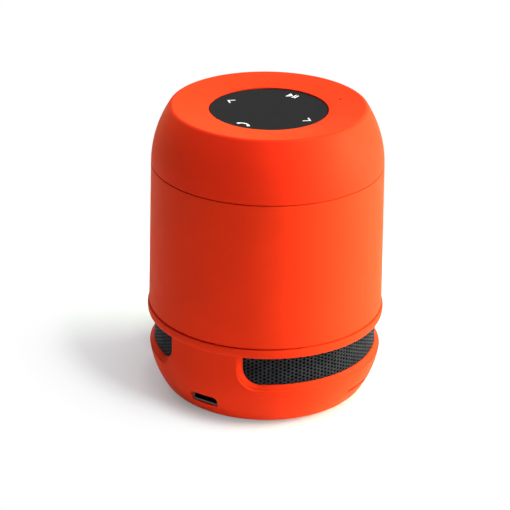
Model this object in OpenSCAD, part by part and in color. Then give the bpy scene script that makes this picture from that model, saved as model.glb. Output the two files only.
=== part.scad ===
// Portable speaker: a rounded cap with a touch panel, a smooth sleeve, and a bowl-shaped base
// with two wide windows. The driver faces down and sounds through a perforated grille.
// Millimetres. Origin: centre of the foot's underside. +Z is up, -Y is the charging port's side,
// +X the card slot's side and +Y the power switch's side.

/* [Sleeve] */
// outer radius at the sleeve's top edge
sleeve_top_r = 30; // [29.6:0.1:31]
// outer radius at the sleeve's bottom edge
sleeve_bottom_r = 30.8; // [30.2:0.1:31.4]
// height between the two seams
sleeve_h = 39.1; // [38:0.1:50]
// wall at the narrower edge
sleeve_wall = 2.1; // [1.8:0.1:2.3]
// height of the shadow gap at the lower seam
low_seam_gap = 0.45; // [0.2:0.05:0.8]
// height of the shadow gap at the upper seam
high_seam_gap = 0.3; // [0.2:0.05:0.6]
// depth of both shadow gaps
seam_depth = 0.7; // [0.4:0.1:1]

/* [Cap] */
// height of the cap above the upper seam
cap_h = 15.4; // [15:0.1:17]
// radius of the side's long curve
cap_side_r = 28; // [27:0.5:36]
// how far the long curve's centre lies below the seam
cap_side_drop = 0.4; // [0:0.1:2]
// radius of the shoulder's tight curve
cap_shoulder_r = 1; // [0.6:0.1:3.5]
// wall of the cap
cap_wall = 2; // [1.6:0.1:2.4]
// fall of the dished top from its crest to the panel's rim
dish_fall = 1.1; // [0.6:0.1:1.6]
// length of the collar that plugs into the sleeve
cap_plug_h = 4; // [3:0.1:5]
// radius of the snap bead on that collar
snap_bead_r = 0.35; // [0.2:0.05:0.4]

/* [Touch panel] */
// panel radius
panel_r = 15.2; // [14:0.1:16]
// panel thickness
panel_t = 1.5; // [1:0.1:1.8]
// depth of the panel's face below its rim
panel_recess = 0.2; // [0.1:0.1:0.8]
// thickness of the adhesive under the panel
adhesive_t = 0.2; // [0.1:0.05:0.3]
// thickness of the cap's floor under the panel
panel_floor_t = 1.6; // [1.2:0.1:2]
// length of the posts that carry the touch board
board_post_h = 2; // [1.5:0.1:3]
// touch board thickness
board_t = 1; // [0.8:0.1:1.6]

/* [Microphone] */
// distance of the hole from the axis
mic_r = 19.3; // [18.8:0.1:20]
// direction of the hole, measured from +X towards +Y
mic_angle = 50.5; // [40:0.5:60]
// hole diameter
mic_hole_d = 0.8; // [0.6:0.1:1.2]
// capsule diameter
mic_d = 4; // [3.5:0.1:4.4]

/* [Base] */
// height of the base from the bowl's underside to the lower seam
base_h = 23; // [22.6:0.1:25]
// largest radius of the bowl
bowl_r = 30.9; // [30.5:0.1:31.4]
// height of that largest radius above the bowl's underside
bowl_max_h = 14.3; // [13.6:0.1:15]
// radius of the bowl's long curve
bowl_side_r = 24; // [22:0.1:26]
// radius of the bowl's lower edge
bowl_edge_r = 3; // [2:0.1:4]
// wall of the bowl
base_wall = 2.1; // [1.8:0.1:2.3]
// wall between the grille and the bowl's largest radius
window_wall = 1.5; // [1.3:0.05:1.8]
// floor of the base
floor_t = 2; // [1.8:0.1:2.6]
// height of the collar above the windows
collar_h = 2.15; // [1.6:0.05:2.6]
// largest radius of the collar
collar_r = 31.2; // [31:0.05:31.8]
// radius of the collar's bulge
collar_bulge_r = 4; // [3:0.1:8]

/* [Windows] */
// half the angle of a post between two windows
post_half = 20.5; // [18:0.5:28]
// height of the sill above the bowl's underside
sill_h = 12.6; // [12.3:0.1:14]
// radius of the window's lower corners
window_corner = 4.8; // [3:0.1:6]
// width of the inner bevel
bevel_in = 0.85; // [0.4:0.05:1.2]
// width of the step between the two bevels
bevel_step = 0.25; // [0.1:0.05:0.4]
// depth of the outer bevel, measured inwards from the bowl's largest radius
bevel_depth = 0.75; // [0.5:0.05:1]
// outward slope of the outer bevel
bevel_slope = 1; // [0.4:0.05:1.4]

/* [Grille] */
// thickness of the perforated sheet
mesh_t = 0.5; // [0.4:0.05:0.7]
// hole diameter
mesh_hole_d = 0.7; // [0.4:0.02:0.76]
// distance between holes up a column
mesh_pitch = 1; // [0.96:0.02:1.5]
// number of hole columns round the full circle
mesh_columns = 180; // [120:4:184]
// thickness of the cloth behind the sheet
cloth_t = 0.55; // [0.4:0.05:0.7]
// height of the grille's seat above the bowl's underside
seat_h = 10.6; // [10.4:0.1:11.2]

/* [Foot] */
// how far the foot stands below the bowl
foot_proud = 0.6; // [0.4:0.1:1]
// depth of the foot's groove
foot_groove = 1; // [0.8:0.1:1.2]

/* [Screws] */
// distance of the base screws from the axis
screw_r = 22; // [21.8:0.1:22.2]
// angle of a base screw from the post's middle
screw_angle = 22; // [20:1:28]
// shank radius of the base screws
screw_shank_r = 1.1; // [0.9:0.05:1.2]
// head radius of the base screws
screw_head_r = 2; // [1.8:0.05:2.1]
// radius of the columns that hold them
column_r = 3; // [2.8:0.1:3.2]

/* [Main board] */
// board thickness
pcb_t = 1.2; // [1:0.1:1.6]
// height of the board's standoffs
standoff_h = 1.15; // [1:0.05:1.6]
// width of the charging socket
usb_w = 7.5; // [7.2:0.1:8]
// height of the charging socket
usb_h = 2.5; // [2.4:0.1:2.8]
// depth of the charging socket
usb_depth = 5.4; // [5:0.1:5.8]
// sideways offset of the charging socket
usb_x = 0; // [-1:0.1:1]
// how far the socket sits in from the bowl's face
usb_inset = 1; // [0.8:0.1:1.8]
// margin of the moulded port round the charging socket
port_margin = 0.3; // [0.2:0.05:0.5]
// radius of that port's corners
port_r = 1.2; // [0.8:0.1:1.4]
// width of the card slot
card_w = 11.2; // [11.2:0.1:12]
// height of the card slot in the shell
card_slit_h = 0.9; // [0.8:0.05:1.2]
// sideways offset of the card slot
card_y = 0.8; // [-1.5:0.1:1.5]

/* [Power switch] */
// travel of the knob
switch_travel = 2; // [1.5:0.1:2.5]
// width of the knob
knob_w = 2.2; // [1.8:0.1:2.6]
// height of the knob
knob_h = 1.5; // [1.2:0.1:1.8]

/* [Driver] */
// radius of the driver's flange
driver_r = 19; // [18.6:0.1:19.2]
// cone radius
cone_r = 12.6; // [12.3:0.1:12.8]
// inner radius of the voice coil's former
coil_r = 4.95; // [4.8:0.05:5.05]
// magnet radius
magnet_r = 12; // [11:0.1:13]
// magnet height
magnet_h = 5; // [4:0.1:6]

/* [Battery] */
// cell length
cell_l = 34; // [30:0.5:34.5]
// cell width
cell_w = 20; // [16:0.5:20.5]
// cell thickness
cell_t = 6; // [4:0.1:6.5]
// height of the tray above the lower seam
tray_h = 24.4; // [23:0.1:25]

/* [Hidden] */
$fn = 72;

// clearances: seated fits, moving pieces, self-tapped threads, screw holes
fit = 0.1;
gap = 0.3;
thread_fit = 0.02;
hole_fit = 0.25;
// small overlap that joins the features of one moulding, and reach of the cutters
join = 0.4;
pilot_end = 0.2;
reach = 6;

// colours
orange = [0.93, 0.27, 0.10];
black = [0.11, 0.11, 0.12];
steel = [0.72, 0.72, 0.74];
copper = [0.72, 0.42, 0.20];
board_green = [0.05, 0.25, 0.14];

// heights above the foot's underside
bowl_z = foot_proud;
floor_z = bowl_z + floor_t;
low_seam_z = bowl_z + base_h;
high_seam_z = low_seam_z + sleeve_h;
crest_z = high_seam_z + cap_h;
rim_z = crest_z - dish_fall;
panel_z = rim_z - panel_recess;
panel_seat_z = panel_z - panel_t - adhesive_t;
cap_floor_z = panel_seat_z - panel_floor_t;
board_top_z = cap_floor_z - board_post_h;
board_z = board_top_z - board_t;

// base: two tangent arcs make the bowl
bowl_c_r = bowl_r - bowl_side_r;
bowl_c_z = bowl_z + bowl_max_h;
edge_c_z = bowl_z + bowl_edge_r;
edge_c_r = bowl_c_r + sqrt(pow(bowl_side_r - bowl_edge_r, 2) - pow(bowl_c_z - edge_c_z, 2));
bowl_join_z = bowl_c_z - (bowl_c_z - edge_c_z) * bowl_side_r / (bowl_side_r - bowl_edge_r);
function bowl_out(z) = bowl_c_r + sqrt(pow(bowl_side_r, 2) - pow(bowl_c_z - z, 2));
function bowl_in(z) = bowl_c_r + sqrt(pow(bowl_side_r - base_wall, 2) - pow(bowl_c_z - z, 2));
pocket_r = min(bowl_r, collar_r) - window_wall;
seat_z = bowl_z + seat_h;
seat_rib_h = 1.5;
seat_w = 2.1;
sill_z = bowl_z + sill_h;
window_top_z = low_seam_z - collar_h;
bore_r = min(sleeve_top_r, sleeve_bottom_r) - sleeve_wall;
// radius beyond every outside face, for sections and cutters
beyond_r = max(sleeve_top_r, sleeve_bottom_r, collar_r, bowl_r) + join;
post_angles = [-90, 90];
screw_angles = [for (p = post_angles, s = [-1, 1]) p + s * screw_angle];
foot_in_r = screw_r - screw_head_r - hole_fit - join;
foot_out_r = screw_r + screw_head_r + hole_fit;
screw_boss_r = 2.5;
screw_boss_h = 7;
screw_grip = 5.5;
head_seat_drop = 6.6;
head_seat_z = low_seam_z - head_seat_drop;
head_h = 1.7;

// cap: two tangent arcs make the side and the shoulder
cap_c_z = high_seam_z - cap_side_drop;
cap_c_r = sleeve_top_r - sqrt(pow(cap_side_r, 2) - pow(cap_side_drop, 2));
shoulder_z = crest_z - cap_shoulder_r;
shoulder_r = cap_c_r + sqrt(pow(cap_side_r - cap_shoulder_r, 2) - pow(shoulder_z - cap_c_z, 2));
cap_join_z = cap_c_z + (shoulder_z - cap_c_z) * cap_side_r / (cap_side_r - cap_shoulder_r);
hole_r = panel_r + fit;
annulus_t = 2;
plug_r = bore_r - fit;
plug_t = 1.5;
plug_root_h = 2.5;
snap_z = high_seam_z - cap_plug_h * 0.6;
cap_inside_r = cap_c_r + cap_side_r - cap_wall;
board_rim = 1.6;
board_r = hole_r + board_rim;
board_screw_r = panel_r - 0.2;
board_post_r = 2;
board_head_r = 1.7;
board_head_h = 1.1;
board_grip = board_post_h + 0.4;
board_screw_angles = [90, 210, 330];
pad_r = 3;
mic_top_z = rim_z - annulus_t;
boot_r = mic_d / 2 + 0.45;
boot_h = 2.4;
boot_wall = 0.9;
boot_lid = 0.5;
mic_h = 1.5;

// baffle and driver
baffle_flange_h = 0.9;
baffle_z = low_seam_z - baffle_flange_h;
baffle_plug_h = 2.4;
bz = low_seam_z + baffle_plug_h;
gasket_t = 1;
flange_t = 0.8;
surround_t = 0.3;
roll_r = 1.1;
roll_c_r = cone_r + roll_r + 0.2;
driver_shank_r = 0.8;
driver_head_r = 1.3;
driver_head_h = 0.9;
driver_grip = 2;
driver_screw_r = driver_r - 1.5;
driver_screw_angles = [0, 90, 180, 270];
cone_lip = 0.9;
lip_in_r = cone_r - cone_lip;
lip_out_r = driver_screw_r - driver_shank_r - fit;
former_t = 0.2;
winding_t = 0.35;
spider_h = 6.6;
spider_z = bz + spider_h;
spider_lip = 0.9;
spider_out_r = cone_r - 1.3;
ledge_z = spider_z + surround_t / 2;
ledge_r = spider_out_r - spider_lip + surround_t;
cup_h = 3.05;
plate_z = ledge_z + cup_h;
plate_t = 2.5;
yoke_t = 2;
magnet_z = plate_z + plate_t;
pole_r = coil_r - gap;
gap_r = coil_r + former_t + winding_t + gap;
magnet_step = 1.5;
magnet_play = 0.8;
cone_h = 5.4;
cone_neck_z = bz + cone_h;
cone_t = 0.35;
dome_r = 8;
dome_h = 2.8;
dome_seat = 0.85;
basket_slot_w = 11;
terminal_t = 1;
terminal_w = 5;
terminal_h = 4;
terminal_r = driver_r - 2.4;

// battery
tray_z = low_seam_z + tray_h;
tray_t = 1.6;
tray_r = bore_r - 0.5;
tray_boss_r = 2.4;
tray_boss_h = 8;
tray_screw_r = bore_r - tray_boss_r - 0.5;
tray_angles = [45, 135, 225, 315];
tray_grip = 4;
tray_slot_l = 20;
tray_slot_w = 5;
foam_t = 0.6;
cell_z = tray_z + tray_t + foam_t;
tray_fence_t = 1.2;

// main board
pcb_z = floor_z + standoff_h;
pcb_top = pcb_z + pcb_t;
pcb_r = bowl_in(pcb_z) - 0.6;
pcb_screw_r = 13;
standoff_r = 2.2;
pcb_screw_angles = [60, 180, 300];
pcb_shank_r = 0.95;
pcb_head_r = 1.8;
pcb_head_h = 1.2;
pcb_grip = 2;
radio_chip = [7, 7, 1];
amplifier = [5, 6, 1.4];
memory_chip = [5, 4, 1.2];
inductor = [4.5, 4.5, 2.6];
crystal = [3.2, 2.5, 0.8];
capacitor_r = 2.1;
capacitor_h = 4.2;
usb_z = pcb_top + usb_h / 2;
usb_front = bowl_out(usb_z) - usb_inset;
usb_sheet = 0.35;
usb_cut = 0.9;
card_z = pcb_top + 1.2;
socket_w = card_w + 2.4;
socket_h = 2.1;
socket_d = 14;
socket_x = sqrt(pow(bowl_in(pcb_top), 2) - pow(socket_w / 2 + abs(card_y), 2)) - gap;
switch_w = 8.6;
switch_h = 3.1;
switch_z = pcb_top + switch_h / 2;
switch_front = bowl_in(pcb_top) - 1.4;
switch_d = 3.6;
knob_x = -switch_travel / 2;
knob_slot_r = 0.5;
finger_r = 2;
slider_d = 1.9;
slider_back = 2.6;
slider_side = 0.5;
slider_lip = 0.05;
knob_end = bowl_out(switch_z) - 0.2;
knob_floor = bowl_out(switch_z) - 1.2;
finger_w = 10;
finger_h = 4.4;

// wires: they drop inside the sleeve's bore and end on the main board
wire_r = 0.5;
wire_bend = 1.5;
speaker_angle = 150;
battery_angle = 195;
lead_gap = 0.9;
lead_edge = 1.2;
lead_r = min(pcb_r - lead_edge, bore_r - 2 * lead_edge);

// ribbon from the touch board: it clears the cap's collar and ends on the main board
function flat_x(r) = sqrt(pow(r, 2) - pow(ribbon_w / 2, 2));
ribbon_t = 0.3;
ribbon_w = 6;
ribbon_bend = 1.2;
ribbon_lap = 5.8;
ribbon_x = ribbon_t + fit - min(flat_x(pcb_r), flat_x(plug_r - plug_t) - gap);

// helpers
function polar(r, a) = [r * cos(a), r * sin(a)];
function arc_angle(length, r) = length / r * 180 / PI;

module at(r, a, z) {
  rotate([0, 0, a]) translate([r, 0, z]) children();
}

// rectangle of a revolved section: from radius r0 to r1 and height z0 to z1
module band(r0, r1, z0, z1) {
  translate([r0, z0]) square([r1 - r0, z1 - z0]);
}

// rectangle with round corners, centred
module round_rect(w, h, r) {
  square([w - 2 * r, h], center = true);
  square([w, h - 2 * r], center = true);
  for (x = [-1, 1], y = [-1, 1]) translate([x * (w / 2 - r), y * (h / 2 - r)]) circle(r, $fn = 32);
}

// pan-head screw pointing up, head's bearing face at z = 0
module screw(head_r, head_height, shank_r, length) {
  difference() {
    translate([0, 0, -head_height]) cylinder(r = head_r, h = head_height, $fn = 32);
    for (a = [0, 90])
      rotate([0, 0, a])
        translate([-head_r * 0.6, -0.2, -head_height - join])
          cube([head_r * 1.2, 0.4, head_height * 0.5 + join]);
  }
  cylinder(r = shank_r, h = length, $fn = 32);
}

// wire: out along +X from (r0, z0), then down at r1 to z1
module drop_wire(r0, z0, r1, z1) {
  lap = 0.1;
  bend_r = wire_r - 0.03;
  translate([r0, 0, z0]) rotate([0, 90, 0]) cylinder(r = wire_r, h = r1 - wire_bend - r0 + lap, $fn = 20);
  translate([r1 - wire_bend, 0, z0 - wire_bend])
    rotate([90, 0, 0])
      rotate_extrude(angle = 90, $fn = 32) translate([wire_bend, 0]) circle(bend_r, $fn = 20);
  translate([r1, 0, z1]) cylinder(r = wire_r, h = z0 - wire_bend - z1 + lap, $fn = 20);
}

module drop_wire_pair(a, r0, z0, r1, z1) {
  rotate([0, 0, a])
    for (s = [-1, 1]) translate([0, s * lead_gap, 0]) drop_wire(r0, z0, r1, z1);
}

// holes that let the wires and the ribbon through a plate
module wire_holes(z, h) {
  for (a = [speaker_angle, battery_angle], s = [-1, 1])
    rotate([0, 0, a])
      translate([lead_r, s * lead_gap, z - join]) cylinder(r = wire_r + hole_fit, h = h + 2 * join, $fn = 24);
  translate([ribbon_x - ribbon_t - gap, -ribbon_w / 2 - gap, z - join])
    cube([ribbon_t + 2 * gap, ribbon_w + 2 * gap, h + 2 * join]);
}

// cap
module cap_outer_section() {
  difference() {
    union() {
      intersection() {
        translate([cap_c_r, cap_c_z]) circle(cap_side_r, $fn = 180);
        band(0, beyond_r, high_seam_z, cap_join_z);
      }
      band(0, shoulder_r, cap_join_z - join, crest_z);
      intersection() {
        translate([shoulder_r, shoulder_z]) circle(cap_shoulder_r, $fn = 96);
        band(shoulder_r - join, beyond_r, cap_join_z, crest_z);
      }
    }
    polygon([[-1, rim_z], [hole_r, rim_z], [shoulder_r, crest_z], [shoulder_r, crest_z + 1],
      [-1, crest_z + 1]]);
  }
}

module cap_inner_section() {
  intersection() {
    translate([cap_c_r, cap_c_z]) circle(cap_side_r - cap_wall, $fn = 180);
    union() {
      band(0, beyond_r, high_seam_z - 1, cap_floor_z);
      band(hole_r + cap_wall, beyond_r, cap_floor_z - join, rim_z - annulus_t);
    }
  }
}

module cap_plug_section() {
  band(plug_r - plug_t, plug_r, high_seam_z - cap_plug_h, high_seam_z + join);
  band(plug_r - plug_t, cap_inside_r + cap_wall / 2, high_seam_z, high_seam_z + plug_root_h);
  translate([plug_r, snap_z]) circle(snap_bead_r, $fn = 24);
}

module mic_place() {
  at(mic_r, mic_angle, 0) children();
}

module top_cap() {
  color(orange)
  difference() {
    union() {
      rotate_extrude() difference() {
        cap_outer_section();
        cap_inner_section();
        band(0, hole_r, panel_seat_z, crest_z);
        band(sleeve_top_r - seam_depth, beyond_r, high_seam_z - join, high_seam_z + high_seam_gap);
      }
      rotate_extrude() cap_plug_section();
      for (a = board_screw_angles)
        at(board_screw_r, a, board_top_z) cylinder(r = board_post_r, h = board_post_h + join, $fn = 32);
      mic_place()
        translate([0, 0, mic_top_z - boot_h]) cylinder(r = boot_r + boot_wall, h = boot_h + join, $fn = 40);
    }
    for (a = board_screw_angles)
      at(board_screw_r, a, board_top_z - join)
        cylinder(r = pcb_shank_r + thread_fit, h = board_grip + join + pilot_end, $fn = 24);
    mic_place()
      translate([0, 0, mic_top_z - boot_h - join]) cylinder(r = boot_r + fit, h = boot_h + join, $fn = 40);
    mic_place() translate([0, 0, mic_top_z - join]) cylinder(d = mic_hole_d, h = reach, $fn = 24);
  }
}

module touch_panel() {
  edge = 0.2;
  color(black)
  rotate_extrude()
    polygon([[0, panel_z - panel_t], [panel_r, panel_z - panel_t], [panel_r, panel_z - edge],
      [panel_r - edge, panel_z], [0, panel_z]]);
}

module panel_adhesive() {
  inner_share = 0.6;
  edge = 0.2;
  color([0.85, 0.85, 0.8])
  rotate_extrude() band(panel_r * inner_share, panel_r - edge, panel_seat_z, panel_seat_z + adhesive_t);
}

module touch_pads() {
  color([0.3, 0.3, 0.32])
  for (a = [0, 90, 180, 270])
    at(panel_r - 6, a, board_top_z) cylinder(r = pad_r, h = board_post_h, $fn = 40);
}

module touch_board() {
  color(board_green)
  difference() {
    translate([0, 0, board_z]) cylinder(r = board_r, h = board_t);
    for (a = board_screw_angles)
      at(board_screw_r, a, board_z - join)
        cylinder(r = pcb_shank_r + hole_fit, h = board_t + 2 * join, $fn = 24);
  }
}

module board_screws() {
  color(steel)
  for (a = board_screw_angles)
    at(board_screw_r, a, board_z) screw(board_head_r, board_head_h, pcb_shank_r, board_t + board_grip);
}

module mic_boot() {
  color(black)
  mic_place() difference() {
    translate([0, 0, mic_top_z - boot_h]) cylinder(r = boot_r, h = boot_h, $fn = 40);
    translate([0, 0, mic_top_z - boot_h - join]) cylinder(d = mic_d, h = boot_h - boot_lid + join, $fn = 40);
    translate([0, 0, mic_top_z - 1]) cylinder(d = mic_hole_d, h = 2, $fn = 24);
  }
}

module mic_capsule() {
  color(steel)
  mic_place() difference() {
    translate([0, 0, mic_top_z - boot_lid - mic_h]) cylinder(d = mic_d - fit, h = mic_h, $fn = 40);
    translate([0, 0, mic_top_z - 1]) cylinder(d = mic_hole_d, h = 1, $fn = 24);
  }
}

// sleeve
module body_sleeve() {
  rib_t = 1.6;
  color(orange)
  difference() {
    union() {
      rotate_extrude() difference() {
        polygon([[bore_r, low_seam_z], [sleeve_bottom_r, low_seam_z], [sleeve_top_r, high_seam_z],
          [bore_r, high_seam_z]]);
        band(sleeve_bottom_r - seam_depth, beyond_r, low_seam_z - join, low_seam_z + low_seam_gap);
        translate([bore_r, snap_z]) circle(snap_bead_r + fit, $fn = 24);
      }
      for (a = screw_angles) {
        at(screw_r, a, bz) cylinder(r = screw_boss_r, h = screw_boss_h, $fn = 40);
        at(screw_r, a, bz) translate([0, -rib_t / 2, 0]) cube([bore_r + join - screw_r, rib_t, screw_boss_h]);
      }
      for (a = tray_angles) {
        at(tray_screw_r, a, tray_z - tray_boss_h) cylinder(r = tray_boss_r, h = tray_boss_h, $fn = 40);
        at(tray_screw_r, a, bz)
          translate([0, -rib_t / 2, 0]) cube([bore_r + join - tray_screw_r, rib_t, tray_z - bz]);
      }
    }
    for (a = screw_angles)
      at(screw_r, a, bz - join)
        cylinder(r = screw_shank_r + thread_fit, h = screw_boss_h - 1 + join, $fn = 24);
    for (a = tray_angles)
      at(tray_screw_r, a, tray_z - tray_grip - 1)
        cylinder(r = pcb_shank_r + thread_fit, h = tray_grip + 1 + join, $fn = 24);
  }
}

module battery_tray() {
  fence_h = 4;
  inner_l = cell_l + 2 * gap;
  inner_w = cell_w + 2 * gap;
  color(black)
  difference() {
    union() {
      translate([0, 0, tray_z]) cylinder(r = tray_r, h = tray_t);
      translate([0, 0, tray_z + tray_t - join])
        linear_extrude(fence_h + join) difference() {
          square([inner_l + 2 * tray_fence_t, inner_w + 2 * tray_fence_t], center = true);
          square([inner_l, inner_w], center = true);
          translate([-cell_l, 0]) square([cell_l, inner_w * 0.7], center = true);
          square([inner_l * 0.5, cell_w * 2], center = true);
        }
    }
    for (a = tray_angles)
      at(tray_screw_r, a, tray_z - join)
        cylinder(r = pcb_shank_r + hole_fit, h = tray_t + 2 * join, $fn = 24);
    for (y = [-1, 1])
      translate([0, y * (cell_w / 2 + 2 + tray_slot_w), tray_z - join])
        linear_extrude(tray_t + 2 * join) round_rect(tray_slot_l, tray_slot_w, 2);
    wire_holes(tray_z, tray_t);
    translate([ribbon_x - reach, -ribbon_w / 2 - gap, tray_z - join])
      cube([reach, ribbon_w + 2 * gap, tray_t + 2 * join]);
  }
}

module tray_screws() {
  color(steel)
  for (a = tray_angles)
    at(tray_screw_r, a, tray_z + tray_t)
      mirror([0, 0, 1]) screw(pcb_head_r, pcb_head_h, pcb_shank_r, tray_t + tray_grip);
}

module battery_foam() {
  color([0.25, 0.25, 0.27])
  translate([0, 0, tray_z + tray_t]) linear_extrude(foam_t) square([cell_l - 4, cell_w - 4], center = true);
}

module battery_cell() {
  color([0.62, 0.64, 0.68])
  translate([0, 0, cell_z]) linear_extrude(cell_t) round_rect(cell_l, cell_w, 2);
}

module battery_leads() {
  color([0.7, 0.1, 0.1])
  drop_wire_pair(battery_angle, (cell_l / 2 + lead_gap) / cos(180 - battery_angle) + gap,
    cell_z + cell_t / 2, lead_r, pcb_top);
}

module speaker_leads() {
  color([0.15, 0.15, 0.6])
  drop_wire_pair(speaker_angle, terminal_r + terminal_t + fit, bz + gasket_t + flange_t + terminal_h * 0.7,
    lead_r, pcb_top);
}

module touch_cable() {
  color([0.75, 0.55, 0.25])
  translate([0, ribbon_w / 2, 0]) rotate([90, 0, 0]) linear_extrude(ribbon_w) {
    translate([ribbon_x + ribbon_bend, board_z - ribbon_t])
      square([ribbon_lap - board_r - ribbon_x - ribbon_bend, ribbon_t]);
    translate([ribbon_x - ribbon_t, pcb_top]) square([ribbon_t, board_z - ribbon_t - ribbon_bend - pcb_top]);
    translate([ribbon_x + ribbon_bend, board_z - ribbon_t - ribbon_bend])
      intersection() {
        difference() {
          circle(ribbon_bend + ribbon_t, $fn = 32);
          circle(ribbon_bend, $fn = 32);
        }
        translate([-reach, 0]) square([reach, reach]);
      }
  }
}

// baffle and driver
module baffle() {
  seat_lip = 1.1;
  flare_w = 2.6;
  flare_h = 1.8;
  open_r = lip_out_r - seat_lip;
  color(black)
  difference() {
    rotate_extrude() difference() {
      union() {
        band(open_r, bore_r - fit, low_seam_z, bz);
        band(open_r, min(bore_r, pocket_r) - fit, baffle_z, bz);
        band(open_r, pocket_r - fit, baffle_z, low_seam_z);
      }
      polygon([[open_r - 1, baffle_z - 1], [open_r + flare_w, baffle_z - 1], [open_r, baffle_z + flare_h],
        [open_r - 1, baffle_z + flare_h]]);
    }
    for (a = screw_angles)
      at(screw_r, a, baffle_z - join)
        cylinder(r = screw_shank_r + hole_fit, h = bz - baffle_z + 2 * join, $fn = 24);
    for (a = driver_screw_angles)
      at(driver_screw_r, a, bz - driver_grip - join)
        cylinder(r = driver_shank_r + thread_fit, h = driver_grip + 2 * join, $fn = 24);
    wire_holes(baffle_z, bz - baffle_z);
  }
}

module driver_gasket() {
  color([0.2, 0.2, 0.22])
  difference() {
    rotate_extrude() band(lip_out_r + fit, driver_r, bz, bz + gasket_t);
    for (a = driver_screw_angles)
      at(driver_screw_r, a, bz - join)
        cylinder(r = driver_shank_r + hole_fit, h = gasket_t + 2 * join, $fn = 24);
  }
}

module driver_basket() {
  flange_z = bz + gasket_t;
  ledge_top = ledge_z + flange_t;
  cup_r = ledge_r + flange_t;
  rim_r = lip_out_r - 1.9;
  wall_low_r = lip_out_r - 1.7;
  wall_high_r = cone_r - 0.2;
  wall_t = 1;
  gap_play = 0.4;
  slot_foot = 1.5;
  slot_head = 0.3;
  slot_in = 0.2;
  color(black)
  difference() {
    rotate_extrude() {
      band(rim_r, driver_r, flange_z, flange_z + flange_t);
      polygon([[wall_low_r, flange_z], [wall_low_r + wall_t, flange_z], [wall_high_r + wall_t, ledge_top],
        [wall_high_r, ledge_top]]);
      band(ledge_r, cone_r, ledge_z, ledge_top);
      band(ledge_r, cup_r, ledge_z, plate_z);
      band(gap_r + gap_play, cup_r, plate_z - flange_t, plate_z);
    }
    for (a = [45, 135, 225, 315])
      at(cup_r + slot_in, a, flange_z + slot_foot)
        translate([0, -basket_slot_w / 2, 0])
          cube([reach, basket_slot_w, ledge_z - flange_z - slot_foot - slot_head]);
    for (a = driver_screw_angles)
      at(driver_screw_r, a, flange_z - join)
        cylinder(r = driver_shank_r + hole_fit, h = flange_t + 2 * join, $fn = 24);
  }
}

module driver_screws() {
  color(steel)
  for (a = driver_screw_angles)
    at(driver_screw_r, a, bz + gasket_t + flange_t)
      mirror([0, 0, 1])
        screw(driver_head_r, driver_head_h, driver_shank_r, gasket_t + flange_t + driver_grip);
}

module driver_terminal() {
  color([0.45, 0.3, 0.15])
  at(terminal_r, speaker_angle, bz + gasket_t + flange_t)
    translate([0, -terminal_w / 2, 0]) cube([terminal_t, terminal_w, terminal_h]);
}

module driver_top_plate() {
  color(steel)
  rotate_extrude() band(gap_r, magnet_r - magnet_step, plate_z, plate_z + plate_t);
}

module driver_magnet() {
  color([0.2, 0.2, 0.22])
  rotate_extrude() band(gap_r + magnet_play, magnet_r, magnet_z, magnet_z + magnet_h);
}

module driver_yoke() {
  color(steel)
  rotate_extrude() {
    band(0, magnet_r - magnet_step, magnet_z + magnet_h, magnet_z + magnet_h + yoke_t);
    band(0, pole_r, plate_z, magnet_z + magnet_h + join);
  }
}

module voice_coil() {
  sunk = 0.3;
  overhang = 0.5;
  coil_top = plate_z + plate_t - sunk;
  color(copper)
  rotate_extrude() {
    band(coil_r, coil_r + former_t, cone_neck_z - sunk, coil_top);
    band(coil_r, coil_r + former_t + winding_t, plate_z - overhang, coil_top);
  }
}

module cone() {
  rim = bz + gasket_t;
  neck_r = coil_r + former_t;
  slant = 0.1;
  color([0.16, 0.16, 0.17])
  rotate_extrude()
    polygon([[cone_r, rim], [lip_in_r, rim], [neck_r, cone_neck_z], [neck_r, cone_neck_z + cone_t + slant],
      [lip_in_r + slant, rim + cone_t], [cone_r, rim + cone_t]]);
}

module dust_cap() {
  dome_top = cone_neck_z - dome_seat;
  color([0.1, 0.1, 0.11])
  rotate_extrude() intersection() {
    translate([0, dome_top - dome_h + dome_r]) difference() {
      circle(dome_r, $fn = 96);
      circle(dome_r - surround_t, $fn = 96);
    }
    band(0, dome_r, dome_top - dome_h - join, dome_top);
  }
}

module surround() {
  lip_z = bz + gasket_t - surround_t;
  mid_z = lip_z + surround_t / 2;
  color([0.08, 0.08, 0.09])
  rotate_extrude() {
    band(lip_in_r, roll_c_r - roll_r + surround_t / 2, lip_z, lip_z + surround_t);
    band(roll_c_r + roll_r - surround_t / 2, lip_out_r, lip_z, lip_z + surround_t);
    intersection() {
      translate([roll_c_r, mid_z]) difference() {
        circle(roll_r + surround_t / 2, $fn = 48);
        circle(roll_r - surround_t / 2, $fn = 48);
      }
      band(0, driver_r, bz - reach, mid_z);
    }
  }
}

module spider() {
  folds = 4;
  glue = 0.05;
  in_r = coil_r + former_t + glue;
  step = (spider_out_r - in_r - 2 * spider_lip) / folds;
  color([0.8, 0.65, 0.3])
  rotate_extrude() {
    band(in_r, in_r + spider_lip, spider_z - surround_t / 2, spider_z + surround_t / 2);
    band(spider_out_r - spider_lip, spider_out_r, spider_z - surround_t / 2, spider_z + surround_t / 2);
    for (i = [0:folds - 1])
      translate([in_r + spider_lip + (i + 0.5) * step, spider_z]) intersection() {
        difference() {
          circle(step / 2 + surround_t / 2, $fn = 40);
          circle(step / 2 - surround_t / 2, $fn = 40);
        }
        translate([-step, i % 2 == 0 ? -step : 0]) square([2 * step, step]);
      }
  }
}

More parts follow.
